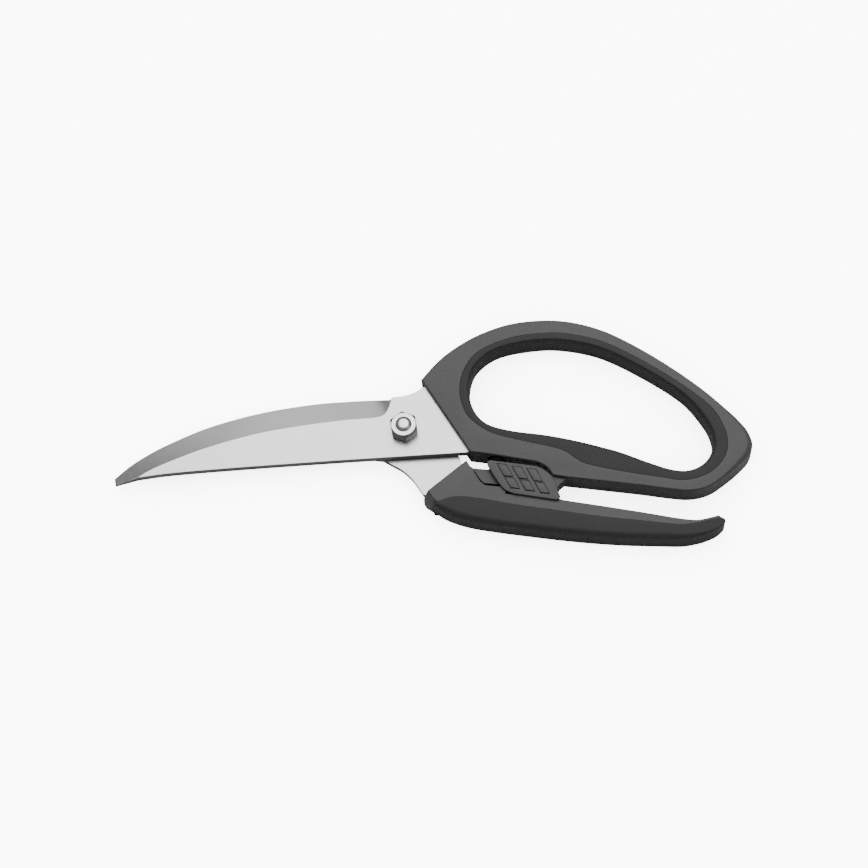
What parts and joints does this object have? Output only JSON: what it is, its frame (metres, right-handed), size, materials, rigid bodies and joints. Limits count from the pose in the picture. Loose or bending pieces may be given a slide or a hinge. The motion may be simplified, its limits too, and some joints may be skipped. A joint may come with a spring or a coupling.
{
  "type": "poultry shears",
  "caption": "Hand shears with two long curved blades on a bolted pivot, one closed loop handle, one straight handle and a sliding lock.",
  "frame": {"origin": "centre of the pivot bolt head's flat back face, on the pivot axis, in the plane that the handles' backs lie in", "axes": "+X from the pivot towards the handles, +Y towards the loop handle, +Z along the pivot axis, from the bolt's head to its nut"},
  "size_m": [0.2512, 0.0929, 0.0147],
  "materials": {
    "blade_steel": "satin",
    "fastener_steel": "satin",
    "handle_grey": "matte",
    "grip_dark": "matte"
  },
  "bodies": {
    "lower_handle": {"back_blade": "blade_steel", "lower_handle_shell": "handle_grey", "lower_handle_grip": "grip_dark", "pivot_bolt": "fastener_steel", "pivot_nut": "fastener_steel", "pivot_sleeve": "fastener_steel", "opening_spring": "fastener_steel"},
    "loop_handle": {"front_blade": "blade_steel", "loop_handle_shell": "handle_grey", "loop_handle_grip": "grip_dark"},
    "lock": {"lock_button": "handle_grey", "lock_slider": "handle_grey", "lock_keeper_plate": "handle_grey", "lock_screw": "fastener_steel"}
  },
  "joints": [
    {"name": "blade_hinge", "type": "hinge", "parent": "lower_handle", "child": "loop_handle", "pos_m": [0, 0, 0], "axis": [0, 0, 1], "range_deg": [0, 38], "deforming": ["opening_spring"]},
    {"name": "lock_slide", "type": "slide", "parent": "lower_handle", "child": "lock", "axis": [-0.9903, 0.1392, 0], "range_m": [0, 0.0055]}
  ]
}
